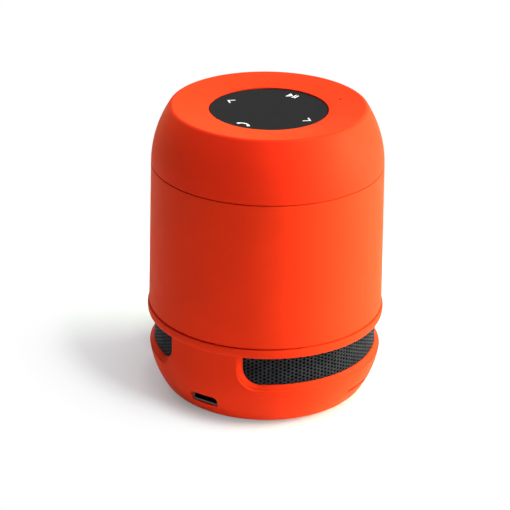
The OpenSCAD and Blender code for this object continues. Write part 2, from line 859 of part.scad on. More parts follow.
// base
module base_outer_section() {
  intersection() {
    translate([bowl_c_r, bowl_c_z]) circle(bowl_side_r, $fn = 180);
    band(0, beyond_r, bowl_join_z, bowl_c_z);
  }
  band(0, edge_c_r, bowl_z, bowl_join_z + join);
  intersection() {
    translate([edge_c_r, edge_c_z]) circle(bowl_edge_r, $fn = 96);
    band(edge_c_r - join, beyond_r, bowl_z, bowl_join_z);
  }
  band(0, bowl_r, bowl_c_z - join, window_top_z + join);
  intersection() {
    translate([collar_r - collar_bulge_r, (window_top_z + low_seam_z) / 2]) circle(collar_bulge_r, $fn = 96);
    band(pocket_r - join, beyond_r, window_top_z, low_seam_z);
  }
}

module base_cavity_section() {
  intersection() {
    translate([bowl_c_r, bowl_c_z]) circle(bowl_side_r - base_wall, $fn = 180);
    band(0, beyond_r, floor_z, seat_z - seat_rib_h);
  }
  band(0, pocket_r - seat_w, seat_z - seat_rib_h - join, seat_z + join);
  band(0, pocket_r, seat_z, low_seam_z + join);
}

// one ring of a window's opening, centred on +X: from radius r0, grown by g0, to r1, grown by g1
module window_ring(r0, g0, r1, g1) {
  half = 90 - post_half;
  turn = half - arc_angle(window_corner, pocket_r);
  corner_z = sill_z + window_corner;
  rotate([0, 0, -turn])
    rotate_extrude(angle = 2 * turn)
      polygon([[r0, sill_z - g0], [r1, sill_z - g1], [r1, window_top_z], [r0, window_top_z]]);
  for (s = [-1, 1]) {
    translate([0, 0, corner_z])
      rotate([0, 0, s * turn])
        linear_extrude(window_top_z - corner_z)
          polygon([[r0, -s], [r0, s * (window_corner + g0)], [r1, s * (window_corner + g1)], [r1, -s]]);
    intersection() {
      at(r0, s * turn, corner_z)
        rotate([0, 90, 0])
          cylinder(h = r1 - r0, r1 = window_corner + g0, r2 = window_corner + g1, $fn = 64);
      translate([0, -beyond_r, 0]) cube([2 * beyond_r, 2 * beyond_r, window_top_z]);
    }
  }
}

module window_cut() {
  step_r = bowl_r - bevel_depth;
  run_in = 1;
  run_out = 0.2;
  lap = 0.01;
  out_r = beyond_r + run_out;
  out_g = bevel_in + bevel_step + (out_r - step_r) * bevel_slope;
  window_ring(pocket_r - run_in, -bevel_in * run_in / (step_r - pocket_r), step_r, bevel_in);
  window_ring(step_r - lap, bevel_in + bevel_step, out_r, out_g);
}

// charging socket's outline, narrow side up
module usb_outline(grow) {
  w = usb_w / 2 + grow;
  h = usb_h / 2 + grow;
  cut = usb_cut + grow / 2;
  polygon([[-w, -h], [w, -h], [w, h - cut], [w - cut, h], [cut - w, h], [-w, h - cut]]);
}

module usb_place(depth_in) {
  translate([usb_x, -usb_front + depth_in, usb_z]) rotate([90, 0, 0]) children();
}

module base_shell() {
  color(orange)
  difference() {
    union() {
      difference() {
        rotate_extrude() difference() {
          base_outer_section();
          base_cavity_section();
          band(foot_in_r - fit, foot_out_r + fit, bowl_z - join, bowl_z + foot_groove);
        }
        for (a = [0, 180]) rotate([0, 0, a]) window_cut();
      }
      for (a = screw_angles)
        at(screw_r, a, floor_z - join) cylinder(r = column_r, h = baffle_z - floor_z + join, $fn = 48);
      for (a = pcb_screw_angles)
        at(pcb_screw_r, a, floor_z - join) cylinder(r = standoff_r, h = standoff_h + join, $fn = 32);
    }
    for (a = screw_angles) {
      at(screw_r, a, bowl_z - join)
        cylinder(r = screw_head_r + hole_fit, h = head_seat_z - bowl_z + join, $fn = 32);
      at(screw_r, a, head_seat_z - join) cylinder(r = screw_shank_r + hole_fit, h = reach * 2, $fn = 24);
    }
    for (a = pcb_screw_angles)
      at(pcb_screw_r, a, pcb_z - pcb_grip - join)
        cylinder(r = pcb_shank_r + thread_fit, h = pcb_grip + 2 * join, $fn = 24);
    usb_place(usb_depth) linear_extrude(usb_depth + reach) usb_outline(fit);
    usb_place(0) linear_extrude(reach) round_rect(usb_w + 2 * port_margin, usb_h + 2 * port_margin, port_r);
    translate([socket_x - 1, card_y - card_w / 2, card_z - card_slit_h / 2])
      cube([reach * 2, card_w, card_slit_h]);
    translate([0, switch_front + fit, switch_z])
      rotate([-90, 0, 0])
        linear_extrude(reach * 2) round_rect(knob_w + switch_travel + 2 * gap, knob_h + 2 * gap, knob_slot_r);
    translate([0, knob_floor, switch_z])
      rotate([-90, 0, 0]) linear_extrude(reach) round_rect(finger_w, finger_h, finger_r);
  }
}

module grille_mesh() {
  out_r = pocket_r - fit / 2;
  in_r = out_r - mesh_t;
  step = 360 / mesh_columns;
  side_columns = floor((90 - post_half) / step);
  rows = floor((window_top_z - sill_z) / mesh_pitch);
  function ring_points(r) = [for (i = [0:mesh_columns - 1]) polar(r / cos(step / 2), (i + 0.5) * step)];
  color([0.25, 0.25, 0.27])
  difference() {
    translate([0, 0, seat_z]) linear_extrude(baffle_z - seat_z - fit / 2) difference() {
      polygon(ring_points(out_r * cos(step / 2)));
      polygon(ring_points(in_r));
    }
    for (side = [0, 180], k = [-side_columns:side_columns], j = [0:rows])
      at(in_r - 1, side + k * step, sill_z + (j + (abs(k) % 2) / 2) * mesh_pitch)
        rotate([0, 90, 0]) cylinder(d = mesh_hole_d, h = mesh_t + 2, $fn = 24);
  }
}

module acoustic_cloth() {
  out_r = pocket_r - fit - mesh_t;
  color([0.07, 0.07, 0.08])
  rotate_extrude() band(out_r - cloth_t, out_r - fit / 2, seat_z, baffle_z - fit / 2);
}

module sound_deflector() {
  plate_h = 1.5;
  plate_r = pocket_r - 2 * fit - mesh_t - cloth_t;
  horn_h = 4;
  horn_r = 9;
  core_r = 5;
  core_tip_r = 1.2;
  core_h = 3.4;
  flare_r = 7;
  color(black)
  difference() {
    rotate_extrude() difference() {
      union() {
        band(0, plate_r, seat_z, seat_z + plate_h);
        difference() {
          band(0, horn_r, seat_z + plate_h - join, seat_z + plate_h + horn_h);
          translate([horn_r, seat_z + plate_h + flare_r]) circle(flare_r, $fn = 96);
        }
      }
      polygon([[-1, seat_z - 1], [core_r, seat_z - 1], [core_r, seat_z], [core_tip_r, seat_z + core_h],
        [-1, seat_z + core_h]]);
    }
    for (a = screw_angles)
      at(screw_r, a, seat_z - join) cylinder(r = column_r + hole_fit, h = plate_h + 2 * join, $fn = 48);
    wire_holes(seat_z, plate_h);
  }
}

module main_pcb() {
  slot_r = column_r + gap;
  color(board_green)
  difference() {
    translate([0, 0, pcb_z]) cylinder(r = pcb_r, h = pcb_t);
    for (a = screw_angles) {
      at(screw_r, a, pcb_z - join) cylinder(r = slot_r, h = pcb_t + 2 * join, $fn = 48);
      at(screw_r, a, pcb_z - join) translate([0, -slot_r, 0]) cube([reach, 2 * slot_r, pcb_t + 2 * join]);
    }
    for (a = pcb_screw_angles)
      at(pcb_screw_r, a, pcb_z - join) cylinder(r = pcb_shank_r + hole_fit, h = pcb_t + 2 * join, $fn = 24);
  }
}

module pcb_screws() {
  color(steel)
  for (a = pcb_screw_angles)
    at(pcb_screw_r, a, pcb_top)
      mirror([0, 0, 1]) screw(pcb_head_r, pcb_head_h, pcb_shank_r, pcb_t + pcb_grip);
}

module chip(place, size) {
  translate([place[0] - size[0] / 2, place[1] - size[1] / 2, pcb_top]) cube(size);
}

module pcb_parts() {
  color([0.13, 0.13, 0.14]) {
    chip([-4, 2], radio_chip);
    chip([2, -7], amplifier);
    chip([5.6, 2], memory_chip);
    chip([-6, -9], inductor);
    chip([-11, -6.5], crystal);
    for (p = [[-9.5, 9], [0.5, 10]])
      translate([p[0], p[1], pcb_top]) cylinder(r = capacitor_r, h = capacitor_h, $fn = 40);
  }
}

module usb_shell() {
  color(steel)
  usb_place(usb_depth) difference() {
    linear_extrude(usb_depth) usb_outline(0);
    translate([0, 0, usb_sheet]) linear_extrude(usb_depth) usb_outline(-usb_sheet);
  }
}

module usb_tongue() {
  block_d = 1.4;
  blade_w = usb_w / 2;
  blade_t = 0.6;
  blade_lift = 0.3;
  blade_back = 0.8;
  color(black)
  usb_place(usb_depth - usb_sheet) {
    linear_extrude(block_d) usb_outline(-usb_sheet - fit);
    translate([0, blade_lift, block_d - join])
      linear_extrude(usb_depth - usb_sheet - block_d - blade_back) square([blade_w, blade_t], center = true);
  }
}

module card_socket() {
  back_wall = 1.5;
  room_h = 1.1;
  color(steel)
  difference() {
    translate([socket_x - socket_d, card_y - socket_w / 2, pcb_top]) cube([socket_d, socket_w, socket_h]);
    translate([socket_x - socket_d + back_wall, card_y - card_w / 2, card_z - room_h / 2])
      cube([socket_d, card_w, room_h]);
  }
}

module switch_body() {
  slider_room = knob_w + 2 * slider_side + switch_travel + 2 * gap;
  color([0.2, 0.2, 0.21])
  difference() {
    translate([-switch_w / 2, switch_front - switch_d, pcb_top]) cube([switch_w, switch_d, switch_h]);
    translate([-slider_room / 2, switch_front - slider_back, switch_z - knob_h / 2 - slider_lip - gap])
      cube([slider_room, slider_d, knob_h + 2 * slider_lip + 2 * gap]);
    translate([0, switch_front - 1, switch_z])
      rotate([-90, 0, 0])
        linear_extrude(2) square([knob_w + switch_travel + 2 * gap, knob_h + 2 * gap], center = true);
  }
}

module switch_knob() {
  slider_y = switch_front - slider_back + gap;
  slider_w = knob_w + 2 * slider_side;
  groove_pitch = 0.5;
  groove_w = 0.24;
  groove_d = 0.25;
  color(black)
  translate([knob_x, 0, switch_z]) difference() {
    union() {
      translate([-slider_w / 2, slider_y, -knob_h / 2 - slider_lip])
        cube([slider_w, slider_d - 2 * gap, knob_h + 2 * slider_lip]);
      translate([-knob_w / 2, slider_y, -knob_h / 2]) cube([knob_w, knob_end - slider_y, knob_h]);
    }
    for (x = [-groove_pitch, 0, groove_pitch])
      translate([x - groove_w / 2, knob_end - groove_d, -knob_h]) cube([groove_w, 1, 2 * knob_h]);
  }
}

module foot_ring() {
  edge = 0.3;
  top = bowl_z + foot_groove;
  color([0.09, 0.09, 0.1])
  rotate_extrude()
    polygon([[foot_in_r, edge], [foot_in_r + edge, 0], [foot_out_r - edge, 0], [foot_out_r, edge],
      [foot_out_r, top], [foot_in_r, top]]);
}

module base_screws() {
  color(steel)
  for (a = screw_angles)
    at(screw_r, a, head_seat_z) screw(screw_head_r, head_h, screw_shank_r, bz + screw_grip - head_seat_z);
}

top_cap();
touch_panel();
panel_adhesive();
touch_pads();
touch_board();
board_screws();
mic_boot();
mic_capsule();
body_sleeve();
battery_tray();
tray_screws();
battery_foam();
battery_cell();
battery_leads();
touch_cable();
speaker_leads();
baffle();
driver_gasket();
driver_basket();
driver_screws();
driver_terminal();
driver_top_plate();
driver_magnet();
driver_yoke();
voice_coil();
cone();
dust_cap();
surround();
spider();
base_shell();
grille_mesh();
acoustic_cloth();
sound_deflector();
main_pcb();
pcb_screws();
pcb_parts();
usb_shell();
usb_tongue();
card_socket();
switch_body();
switch_knob();
foot_ring();
base_screws();
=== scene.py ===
import math

import bmesh
import bpy
from mathutils import Matrix, Vector


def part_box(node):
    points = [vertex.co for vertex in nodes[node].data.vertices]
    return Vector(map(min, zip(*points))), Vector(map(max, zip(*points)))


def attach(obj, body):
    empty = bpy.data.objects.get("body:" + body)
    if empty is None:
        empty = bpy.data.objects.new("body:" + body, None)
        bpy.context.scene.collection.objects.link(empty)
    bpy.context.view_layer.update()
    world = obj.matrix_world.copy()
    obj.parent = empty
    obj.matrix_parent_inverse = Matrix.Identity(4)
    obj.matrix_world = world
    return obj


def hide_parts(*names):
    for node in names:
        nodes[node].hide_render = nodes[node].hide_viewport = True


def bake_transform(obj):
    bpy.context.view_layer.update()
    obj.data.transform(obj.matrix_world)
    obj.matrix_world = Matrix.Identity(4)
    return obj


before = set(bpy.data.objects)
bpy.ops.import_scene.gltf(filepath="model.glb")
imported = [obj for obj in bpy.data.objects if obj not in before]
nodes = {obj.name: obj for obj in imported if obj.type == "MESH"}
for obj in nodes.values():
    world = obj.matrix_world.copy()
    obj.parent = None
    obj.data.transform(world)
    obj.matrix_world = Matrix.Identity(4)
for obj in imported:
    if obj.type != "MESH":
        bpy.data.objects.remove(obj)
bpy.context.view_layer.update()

MM = 0.001


# Camera

VIEW_AZIMUTH = 31.8


def place_camera():
    """A camera at the photograph's distance, height and tilt, turned about the object's axis."""
    distance = 0.458512
    height = 0.248871
    pitch = 0.4349463
    yaw = -0.00634
    roll = 0.0153566
    forward = Vector((math.sin(yaw) * math.cos(pitch), math.cos(yaw) * math.cos(pitch), -math.sin(pitch)))
    right = Vector((math.cos(yaw), -math.sin(yaw), 0.0))
    up = right.cross(forward)
    right, up = (
        math.cos(roll) * right + math.sin(roll) * up,
        math.cos(roll) * up - math.sin(roll) * right,
    )
    pose = Matrix((right, up, -forward)).transposed().to_4x4()
    pose.translation = (0.0, -distance, height)
    data = bpy.data.cameras.new("camera")
    data.sensor_fit = "HORIZONTAL"
    data.sensor_width = 36.0
    data.lens = 135.718
    data.clip_start = 0.02
    data.clip_end = 50.0
    camera = bpy.data.objects.new("camera", data)
    camera.matrix_world = Matrix.Rotation(math.radians(VIEW_AZIMUTH), 4, "Z") @ pose
    bpy.context.scene.collection.objects.link(camera)
    bpy.context.scene.camera = camera


place_camera()


# Material building blocks

# The mix node's colour sockets
MIX_COLOUR_A = 6
MIX_COLOUR_B = 7
MIX_COLOUR_OUT = 2
# The wave node's scale that gives one band in a metre
WAVE_SCALE = 2.0 * math.pi / 20.0
BEVEL_SAMPLES = 6
# Cosines between the rounded and the true normal, on flat ground and on a worn edge
FLAT_GROUND = 0.985
WORN_EDGE = 0.86


class Finish:
    """A principled material whose colour, roughness and relief come from nodes in object space."""

    def __init__(self, name, metal=0.0, specular=0.5):
        self.mat = bpy.data.materials.new(name)
        self.mat.use_nodes = True
        self.tree = self.mat.node_tree
        self.tree.nodes.clear()
        self.out = self.tree.nodes.new("ShaderNodeOutputMaterial")
        self.bsdf = self.tree.nodes.new("ShaderNodeBsdfPrincipled")
        self.tree.links.new(self.bsdf.outputs[0], self.out.inputs["Surface"])
        self.bsdf.inputs["Metallic"].default_value = metal
        self.bsdf.inputs["Specular IOR Level"].default_value = specular
        self.coords = self.tree.nodes.new("ShaderNodeTexCoord").outputs["Object"]
        self.normal = None

    def add(self, kind, **settings):
        node = self.tree.nodes.new(kind)
        for key, value in settings.items():
            setattr(node, key, value)
        return node

    def wire(self, value, socket):
        if isinstance(value, bpy.types.NodeSocket):
            self.tree.links.new(value, socket)
        else:
            socket.default_value = value

    def mapped(self, scale=(1, 1, 1), turn=(0, 0, 0), shift=(0, 0, 0)):
        node = self.add("ShaderNodeMapping")
        self.wire(self.coords, node.inputs["Vector"])
        node.inputs["Scale"].default_value = scale
        node.inputs["Rotation"].default_value = turn
        node.inputs["Location"].default_value = shift
        return node.outputs[0]

    def noise(self, size, detail=2.0, rough=0.5, warp=0.0, vector=None):
        node = self.add("ShaderNodeTexNoise")
        self.wire(vector or self.coords, node.inputs["Vector"])
        node.inputs["Scale"].default_value = 1.0 / size
        node.inputs["Detail"].default_value = detail
        node.inputs["Roughness"].default_value = rough
        node.inputs["Distortion"].default_value = warp
        return node.outputs[0]

    def cells(self, size, output="Distance"):
        node = self.add("ShaderNodeTexVoronoi")
        self.wire(self.coords, node.inputs["Vector"])
        node.inputs["Scale"].default_value = 1.0 / size
        return node.outputs[output]

    def bands(self, size, axis, warp=0.0, vector=None):
        node = self.add("ShaderNodeTexWave", wave_type="BANDS", bands_direction=axis)
        self.wire(vector or self.coords, node.inputs["Vector"])
        node.inputs["Scale"].default_value = WAVE_SCALE / size
        node.inputs["Distortion"].default_value = warp
        return node.outputs["Fac"]

    def math(self, op, a, b):
        node = self.add("ShaderNodeMath", operation=op)
        self.wire(a, node.inputs[0])
        self.wire(b, node.inputs[1])
        return node.outputs[0]

    def span(self, value, low, high, to_low=0.0, to_high=1.0):
        node = self.add("ShaderNodeMapRange")
        self.wire(value, node.inputs["Value"])
        for key, number in (("From Min", low), ("From Max", high), ("To Min", to_low), ("To Max", to_high)):
            node.inputs[key].default_value = number
        return node.outputs["Result"]

    def mix(self, factor, a, b):
        node = self.add("ShaderNodeMix", data_type="RGBA")
        self.wire(factor, node.inputs["Factor"])
        for value, socket in ((a, node.inputs[MIX_COLOUR_A]), (b, node.inputs[MIX_COLOUR_B])):
            if isinstance(value, tuple):
                value = (*value, 1.0)
            self.wire(value, socket)
        return node.outputs[MIX_COLOUR_OUT]

    def length(self, vector):
        node = self.add("ShaderNodeVectorMath", operation="LENGTH")
        self.wire(vector, node.inputs[0])
        return node.outputs["Value"]

    def edges(self, radius):
        """1 along worn edges and 0 on flat ground, from a rounded normal against the true one."""
        soft = self.add("ShaderNodeBevel", samples=BEVEL_SAMPLES)
        soft.inputs["Radius"].default_value = radius
        true = self.add("ShaderNodeNewGeometry")
        dot = self.add("ShaderNodeVectorMath", operation="DOT_PRODUCT")
        self.wire(soft.outputs[0], dot.inputs[0])
        self.wire(true.outputs["Normal"], dot.inputs[1])
        return self.span(dot.outputs["Value"], FLAT_GROUND, WORN_EDGE)

    def wear(self, radius, patch, detail, low, high):
        """Edges worn in patches of the given size."""
        patches = self.span(self.noise(patch, detail=detail), low, high)
        return self.math("MULTIPLY", self.edges(radius), patches)

    def relief(self, height, depth, strength):
        node = self.add("ShaderNodeBump")
        self.wire(height, node.inputs["Height"])
        node.inputs["Distance"].default_value = depth
        node.inputs["Strength"].default_value = strength
        if self.normal is not None:
            self.wire(self.normal, node.inputs["Normal"])
        self.normal = node.outputs[0]

    def rounded(self, radius):
        node = self.add("ShaderNodeBevel", samples=BEVEL_SAMPLES)
        node.inputs["Radius"].default_value = radius
        self.normal = node.outputs[0]

    def done(self, colour, rough):
        self.wire(colour, self.bsdf.inputs["Base Color"])
        self.wire(rough, self.bsdf.inputs["Roughness"])
        if self.normal is not None:
            self.wire(self.normal, self.bsdf.inputs["Normal"])
        return self.mat


def tinted(colour, factor):
    return tuple(min(1.0, c * factor) for c in colour)


# Finishes that show

ORANGE = (0.88, 0.032, 0.009)
CAP_ORANGE = (0.90, 0.028, 0.0088)


def soft_touch(name, colour):
    """Soft matt paint with a fine grain, faint clouds and paler, scuffed edges."""
    f = Finish(name, specular=0.07)
    f.bsdf.inputs["Specular Tint"].default_value = (1.0, 0.5, 0.14, 1.0)
    f.rounded(0.3 * MM)
    f.relief(f.noise(0.16 * MM, detail=3.0), depth=0.006 * MM, strength=0.5)
    f.relief(f.noise(7.0 * MM, detail=2.0), depth=0.05 * MM, strength=0.25)
    cloud = f.span(f.noise(16.0 * MM, detail=3.0), 0.35, 0.65)
    speck = f.span(f.noise(0.3 * MM, detail=2.0), 0.42, 0.68)
    shade = f.mix(cloud, tinted(colour, 0.965), tinted(colour, 1.03))
    shade = f.mix(f.math("MULTIPLY", speck, 0.10), shade, tinted(colour, 0.8))
    worn = f.wear(0.3 * MM, patch=2.2 * MM, detail=4.0, low=0.45, high=0.7)
    scuffed = (colour[0], colour[1] * 1.9, colour[2] * 2.6)
    shade = f.mix(f.math("MULTIPLY", worn, 0.35), shade, scuffed)
    rough = f.span(f.noise(5.0 * MM, detail=4.0), 0.3, 0.7, to_low=0.54, to_high=0.64)
    f.bsdf.inputs["Sheen Weight"].default_value = 0.15
    f.bsdf.inputs["Sheen Roughness"].default_value = 0.5
    f.bsdf.inputs["Sheen Tint"].default_value = (1.0, 0.50, 0.06, 1.0)
    return f.done(shade, rough)


def panel_black():
    """Satin plastic with faint smudges and specks of dust."""
    f = Finish("touch_panel_satin", specular=0.03)
    f.rounded(0.1 * MM)
    f.relief(f.noise(0.12 * MM, detail=2.0), depth=0.004 * MM, strength=0.4)
    smudge = f.span(f.noise(4.5 * MM, detail=5.0, warp=0.8), 0.4, 0.7)
    shade = f.mix(smudge, (0.0048, 0.0049, 0.0056), (0.0058, 0.0060, 0.0067))
    dust = f.span(f.noise(0.22 * MM, detail=1.0), 0.72, 0.8)
    shade = f.mix(f.math("MULTIPLY", dust, 0.2), shade, (0.10, 0.10, 0.10))
    return f.done(shade, f.span(smudge, 0.0, 1.0, to_low=0.44, to_high=0.48))


def ink_white():
    """Printed ink, thinner in places."""
    f = Finish("printed_ink", specular=0.35)
    f.relief(f.noise(0.09 * MM, detail=2.0), depth=0.004 * MM, strength=0.5)
    thin = f.span(f.noise(0.35 * MM, detail=3.0), 0.35, 0.75)
    shade = f.mix(thin, (0.92, 0.92, 0.92), (0.80, 0.80, 0.81))
    return f.done(shade, f.span(thin, 0.0, 1.0, to_low=0.42, to_high=0.55))


def grille_steel():
    """Painted sheet, paler at the edges of its holes: partly rubbed paint, partly painted highlights."""
    f = Finish("grille_painted_steel", specular=0.03)
    f.rounded(0.06 * MM)
    f.relief(f.noise(0.1 * MM, detail=2.0), depth=0.005 * MM, strength=0.4)
    tone = f.span(f.noise(2.5 * MM, detail=3.0), 0.35, 0.7)
    shade = f.mix(tone, (0.020, 0.0205, 0.027), (0.034, 0.0345, 0.045))
    # Pale hole edges: partly worn paint, partly painted highlights on the metal
    worn = f.wear(0.12 * MM, patch=1.1 * MM, detail=3.0, low=0.4, high=0.7)
    shade = f.mix(f.math("MULTIPLY", worn, 0.25), shade, (0.16, 0.16, 0.165))
    return f.done(shade, f.span(f.noise(0.8 * MM, detail=3.0), 0.3, 0.7, to_low=0.44, to_high=0.56))


def woven(name, dark, light, pitch, rough=0.9, depth=0.05, round_z=True):
    """Cloth of two crossed sets of threads: with round_z one set runs along Z, else both lie flat."""
    f = Finish(name, specular=0.06)
    if round_z:
        weft = f.bands(pitch, "Z", warp=0.4)
        warp = f.bands(pitch, "DIAGONAL", warp=0.4, vector=f.mapped(scale=(1.0, 1.0, 0.0)))
    else:
        weft = f.bands(pitch, "X", warp=0.4)
        warp = f.bands(pitch, "Y", warp=0.4)
    thread = f.math("MAXIMUM", weft, warp)
    fuzz = f.noise(pitch * 0.35, detail=3.0)
    f.relief(thread, depth=depth * MM, strength=0.8)
    f.relief(fuzz, depth=depth * 0.4 * MM, strength=0.5)
    shade = f.mix(thread, dark, light)
    stain = f.span(f.noise(4.0 * MM, detail=3.0), 0.3, 0.7, to_low=0.0, to_high=0.25)
    shade = f.mix(stain, shade, tinted(dark, 0.7))
    return f.done(shade, f.span(fuzz, 0.3, 0.7, to_low=rough - 0.06, to_high=rough + 0.04))


def plated(name, colour, rough, brush=None):
    """Metal, with hairlines drawn out by the scale brush where it is given."""
    f = Finish(name, metal=1.0, specular=0.5)
    f.rounded(0.05 * MM)
    if brush:
        hair = f.noise(0.06 * MM, detail=2.0, vector=f.mapped(scale=brush))
    else:
        hair = f.noise(0.25 * MM, detail=3.0)
    f.relief(hair, depth=0.004 * MM, strength=0.5)
    stain = f.span(f.noise(1.8 * MM, detail=4.0, warp=0.5), 0.35, 0.7)
    shade = f.mix(stain, colour, tinted(colour, 0.78))
    worn = f.edges(0.12 * MM)
    shade = f.mix(f.math("MULTIPLY", worn, 0.35), shade, tinted(colour, 1.25))
    return f.done(shade, f.span(hair, 0.3, 0.7, to_low=rough - 0.05, to_high=rough + 0.08))


def moulded(name, colour, rough, grain, depth):
    """Injection moulded plastic with a spark-eroded grain, its size and depth in mm."""
    f = Finish(name, specular=0.45)
    f.rounded(0.1 * MM)
    pits = f.noise(grain * MM, detail=3.0)
    f.relief(pits, depth=depth * MM, strength=0.5)
    f.relief(f.noise(6.0 * MM, detail=2.0), depth=0.06 * MM, strength=0.2)
    flow = f.span(f.noise(9.0 * MM, detail=4.0, warp=0.6), 0.35, 0.7)
    shade = f.mix(flow, tinted(colour, 0.88), tinted(colour, 1.12))
    worn = f.wear(0.25 * MM, patch=1.5 * MM, detail=4.0, low=0.4, high=0.7)
    pale = tuple(c + 0.12 * (1.0 - c) for c in colour)
    shade = f.mix(f.math("MULTIPLY", worn, 0.4), shade, pale)
    return f.done(shade, f.span(pits, 0.3, 0.7, to_low=rough - 0.06, to_high=rough + 0.06))


def rubber(name, colour, grain=0.25):
    """Matt rubber with a pitted skin, pale bloom and scuffed edges; grain is in mm."""
    f = Finish(name, specular=0.3)
    f.rounded(0.12 * MM)
    pits = f.cells(grain * MM)
    f.relief(pits, depth=0.03 * MM, strength=0.6)
    bloom = f.span(f.noise(3.5 * MM, detail=5.0, warp=0.5), 0.4, 0.72)
    shade = f.mix(bloom, colour, tuple(c + 0.03 for c in colour))
    scuff = f.wear(0.3 * MM, patch=1.2 * MM, detail=3.0, low=0.4, high=0.7)
    shade = f.mix(f.math("MULTIPLY", scuff, 0.5), shade, tuple(c + 0.07 for c in colour))
    return f.done(shade, f.span(bloom, 0.0, 1.0, to_low=0.70, to_high=0.86))


# Finishes of the parts inside

def circuit_board(name, pitch):
    """Solder mask over a grid of tracks."""
    f = Finish(name, specular=0.5)
    cells = f.add("ShaderNodeTexBrick", offset=0.37, squash=1.6, squash_frequency=3)
    f.wire(f.mapped(scale=(1.0 / pitch, 1.0 / pitch, 1.0)), cells.inputs["Vector"])
    cells.inputs["Scale"].default_value = 1.0
    cells.inputs["Mortar Size"].default_value = 0.05
    cells.inputs["Mortar Smooth"].default_value = 0.2
    track = cells.outputs["Fac"]
    f.relief(track, depth=0.03 * MM, strength=0.6)
    f.relief(f.noise(0.3 * MM, detail=2.0), depth=0.004 * MM, strength=0.4)
    mask = f.span(f.noise(6.0 * MM, detail=3.0), 0.35, 0.7)
    shade = f.mix(mask, (0.010, 0.075, 0.030), (0.014, 0.105, 0.042))
    shade = f.mix(track, shade, (0.035, 0.20, 0.075))
    return f.done(shade, f.span(mask, 0.0, 1.0, to_low=0.28, to_high=0.40))


def chips():
    """Black packages with some tan ones among them."""
    f = Finish("epoxy_chips", specular=0.4)
    f.rounded(0.06 * MM)
    f.relief(f.noise(0.12 * MM, detail=3.0), depth=0.006 * MM, strength=0.5)
    which = f.add("ShaderNodeSeparateColor")
    f.wire(f.cells(9.0 * MM, output="Color"), which.inputs[0])
    tan = f.math("GREATER_THAN", which.outputs[0], 0.62)
    shade = f.mix(f.noise(1.0 * MM, detail=3.0), (0.016, 0.016, 0.017), (0.030, 0.030, 0.031))
    shade = f.mix(tan, shade, (0.34, 0.26, 0.16))
    return f.done(shade, f.span(f.noise(0.6 * MM, detail=3.0), 0.3, 0.7, to_low=0.40, to_high=0.58))


def ferrite():
    f = Finish("ferrite", specular=0.45)
    f.rounded(0.2 * MM)
    f.relief(f.noise(0.35 * MM, detail=5.0, rough=0.7), depth=0.03 * MM, strength=0.7)
    chip = f.span(f.noise(1.4 * MM, detail=5.0), 0.55, 0.75)
    shade = f.mix(chip, (0.035, 0.034, 0.036), (0.075, 0.074, 0.077))
    return f.done(shade, f.span(chip, 0.0, 1.0, to_low=0.55, to_high=0.75))


def paper_cone():
    f = Finish("coated_paper", specular=0.25)
    fibre = f.noise(0.5 * MM, detail=6.0, rough=0.75, warp=1.4)
    f.relief(fibre, depth=0.05 * MM, strength=0.7)
    shade = f.mix(f.span(fibre, 0.35, 0.7), (0.018, 0.018, 0.019), (0.046, 0.045, 0.044))
    return f.done(shade, f.span(fibre, 0.3, 0.7, to_low=0.72, to_high=0.88))


def winding():
    f = Finish("copper_winding", metal=1.0, specular=0.5)
    turn = f.bands(0.16 * MM, "Z", warp=0.1)
    f.relief(turn, depth=0.06 * MM, strength=0.9)
    shade = f.mix(turn, (0.36, 0.12, 0.045), (0.78, 0.34, 0.15))
    return f.done(shade, f.span(f.noise(0.5 * MM, detail=3.0), 0.3, 0.7, to_low=0.24, to_high=0.38))


def foam(name, colour):
    f = Finish(name, specular=0.15)
    pore = f.cells(0.35 * MM)
    f.relief(pore, depth=0.12 * MM, strength=0.9)
    shade = f.mix(f.span(pore, 0.1, 0.6), tinted(colour, 0.45), tinted(colour, 1.25))
    return f.done(shade, f.span(f.noise(0.5 * MM, detail=2.0), 0.3, 0.7, to_low=0.86, to_high=0.96))


def cell_pouch():
    """Crumpled, embossed foil."""
    f = Finish("battery_foil", metal=0.75, specular=0.5)
    f.rounded(0.5 * MM)
    crumple = f.noise(4.0 * MM, detail=4.0, warp=0.8)
    f.relief(crumple, depth=0.25 * MM, strength=0.5)
    f.relief(f.cells(0.5 * MM), depth=0.01 * MM, strength=0.4)
    shade = f.mix(f.span(crumple, 0.3, 0.7), (0.52, 0.53, 0.55), (0.68, 0.69, 0.70))
    return f.done(shade, f.span(crumple, 0.3, 0.7, to_low=0.26, to_high=0.42))


def lead_pair(name, angle, first, second):
    """Two insulated wires side by side, one of each colour."""
    f = Finish(name, specular=0.4)
    turned = f.add("ShaderNodeSeparateXYZ")
    f.wire(f.mapped(turn=(0.0, 0.0, -math.radians(angle))), turned.inputs[0])
    side = f.math("GREATER_THAN", turned.outputs[1], 0.0)
    f.relief(f.noise(0.4 * MM, detail=2.0), depth=0.02 * MM, strength=0.5)
    shade = f.mix(side, first, second)
    grime = f.span(f.noise(1.2 * MM, detail=3.0), 0.4, 0.8, to_low=0.0, to_high=0.3)
    shade = f.mix(grime, shade, (0.10, 0.09, 0.09))
    return f.done(shade, f.span(f.noise(0.7 * MM, detail=3.0), 0.3, 0.7, to_low=0.36, to_high=0.50))


def ribbon_film():
    f = Finish("ribbon_film", specular=0.5)
    track = f.bands(1.0 * MM, "Y")
    f.relief(track, depth=0.03 * MM, strength=0.6)
    shade = f.mix(f.span(track, 0.45, 0.6), (0.36, 0.16, 0.030), (0.52, 0.27, 0.07))
    stain = f.span(f.noise(3.0 * MM, detail=3.0), 0.4, 0.7, to_low=0.0, to_high=0.3)
    shade = f.mix(stain, shade, (0.24, 0.10, 0.02))
    return f.done(shade, f.span(f.noise(1.0 * MM, detail=3.0), 0.3, 0.7, to_low=0.24, to_high=0.38))


